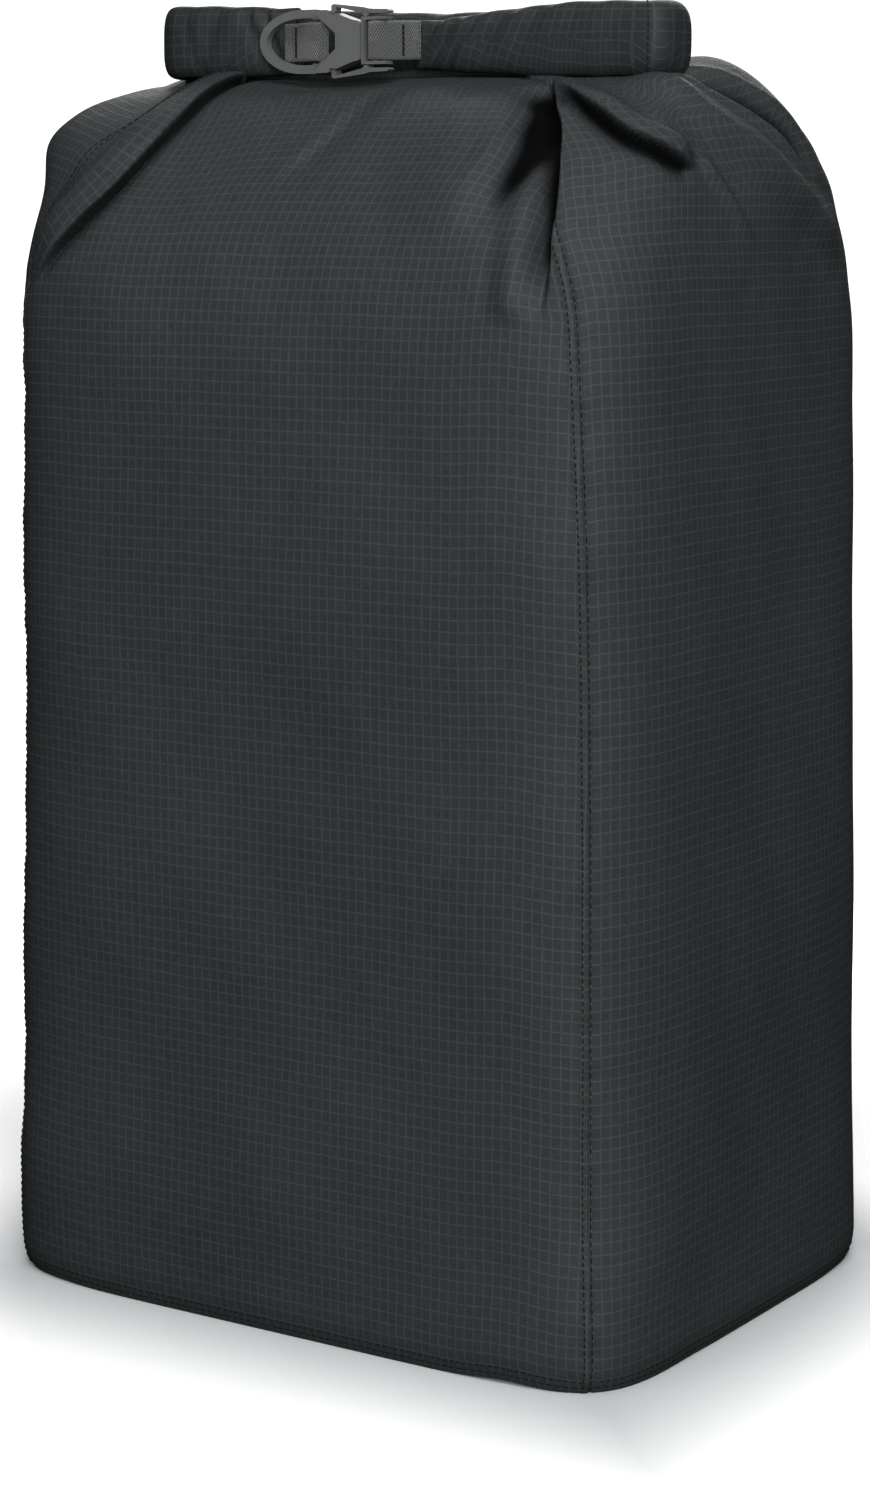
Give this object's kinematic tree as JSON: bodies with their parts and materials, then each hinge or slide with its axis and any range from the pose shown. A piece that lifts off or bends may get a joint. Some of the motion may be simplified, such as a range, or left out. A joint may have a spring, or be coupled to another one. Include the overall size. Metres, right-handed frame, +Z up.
{
  "type": "compression sack",
  "caption": "Tall box-shaped ripstop dry sack, filled and closed: mouth rolled down, folded in at both ends and joined in front by a side-release buckle on webbing",
  "frame": {"origin": "centre of the base on the ground, which is the bottom centre of the bounding box", "axes": "+Z up the sack's height, +X to the right as seen from the buckled front, -Y towards the front"},
  "size_m": [0.3231, 0.2536, 0.55],
  "materials": {
    "ripstop": "coated charcoal ripstop nylon with a fine square grid, dull sheen",
    "seam_tape": "thin translucent tape, bonded inside",
    "stiffener": "flexible strip, matt",
    "webbing": "herringbone webbing, matt",
    "thread": "bonded polyester thread",
    "buckle_plastic": "moulded acetal, satin"
  },
  "bodies": {
    "sack": {"front_panel": "ripstop", "back_panel": "ripstop", "left_side_panel": "ripstop", "right_side_panel": "ripstop", "base_panel": "ripstop", "seam_tape_front_left": "seam_tape", "seam_tape_front_right": "seam_tape", "seam_tape_back_right": "seam_tape", "seam_tape_back_left": "seam_tape", "base_seam_tape": "seam_tape", "roll_back": "ripstop", "roll_fold_left": "ripstop", "roll_end_left": "ripstop", "mouth_strip_left": "stiffener", "webbing_left": "webbing", "bar_tack_left": "thread", "female_buckle": "buckle_plastic"},
    "right_end": {"roll_fold_right": "ripstop", "roll_end_right": "ripstop", "mouth_strip_right": "stiffener", "webbing_right": "webbing", "bar_tack_right": "thread", "male_buckle": "buckle_plastic"},
    "upper_lever": {"lever_upper": "buckle_plastic"},
    "lower_lever": {"lever_lower": "buckle_plastic"}
  },
  "joints": [
    {"name": "buckle_release", "type": "slide", "parent": "sack", "child": "right_end", "axis": [1, 0, 0], "range_m": [0, 0.024]},
    {"name": "upper_lever_press", "type": "hinge", "parent": "right_end", "child": "upper_lever", "pos_m": [-0.0192, -0.0265, 0.5462], "axis": [0, 1, 0], "range_deg": [0, 6], "stiffness_Nm_per_rad": 0.3},
    {"name": "lower_lever_press", "type": "hinge", "parent": "right_end", "child": "lower_lever", "pos_m": [-0.0192, -0.0265, 0.5228], "axis": [0, -1, 0], "range_deg": [0, 6], "stiffness_Nm_per_rad": 0.3}
  ]
}
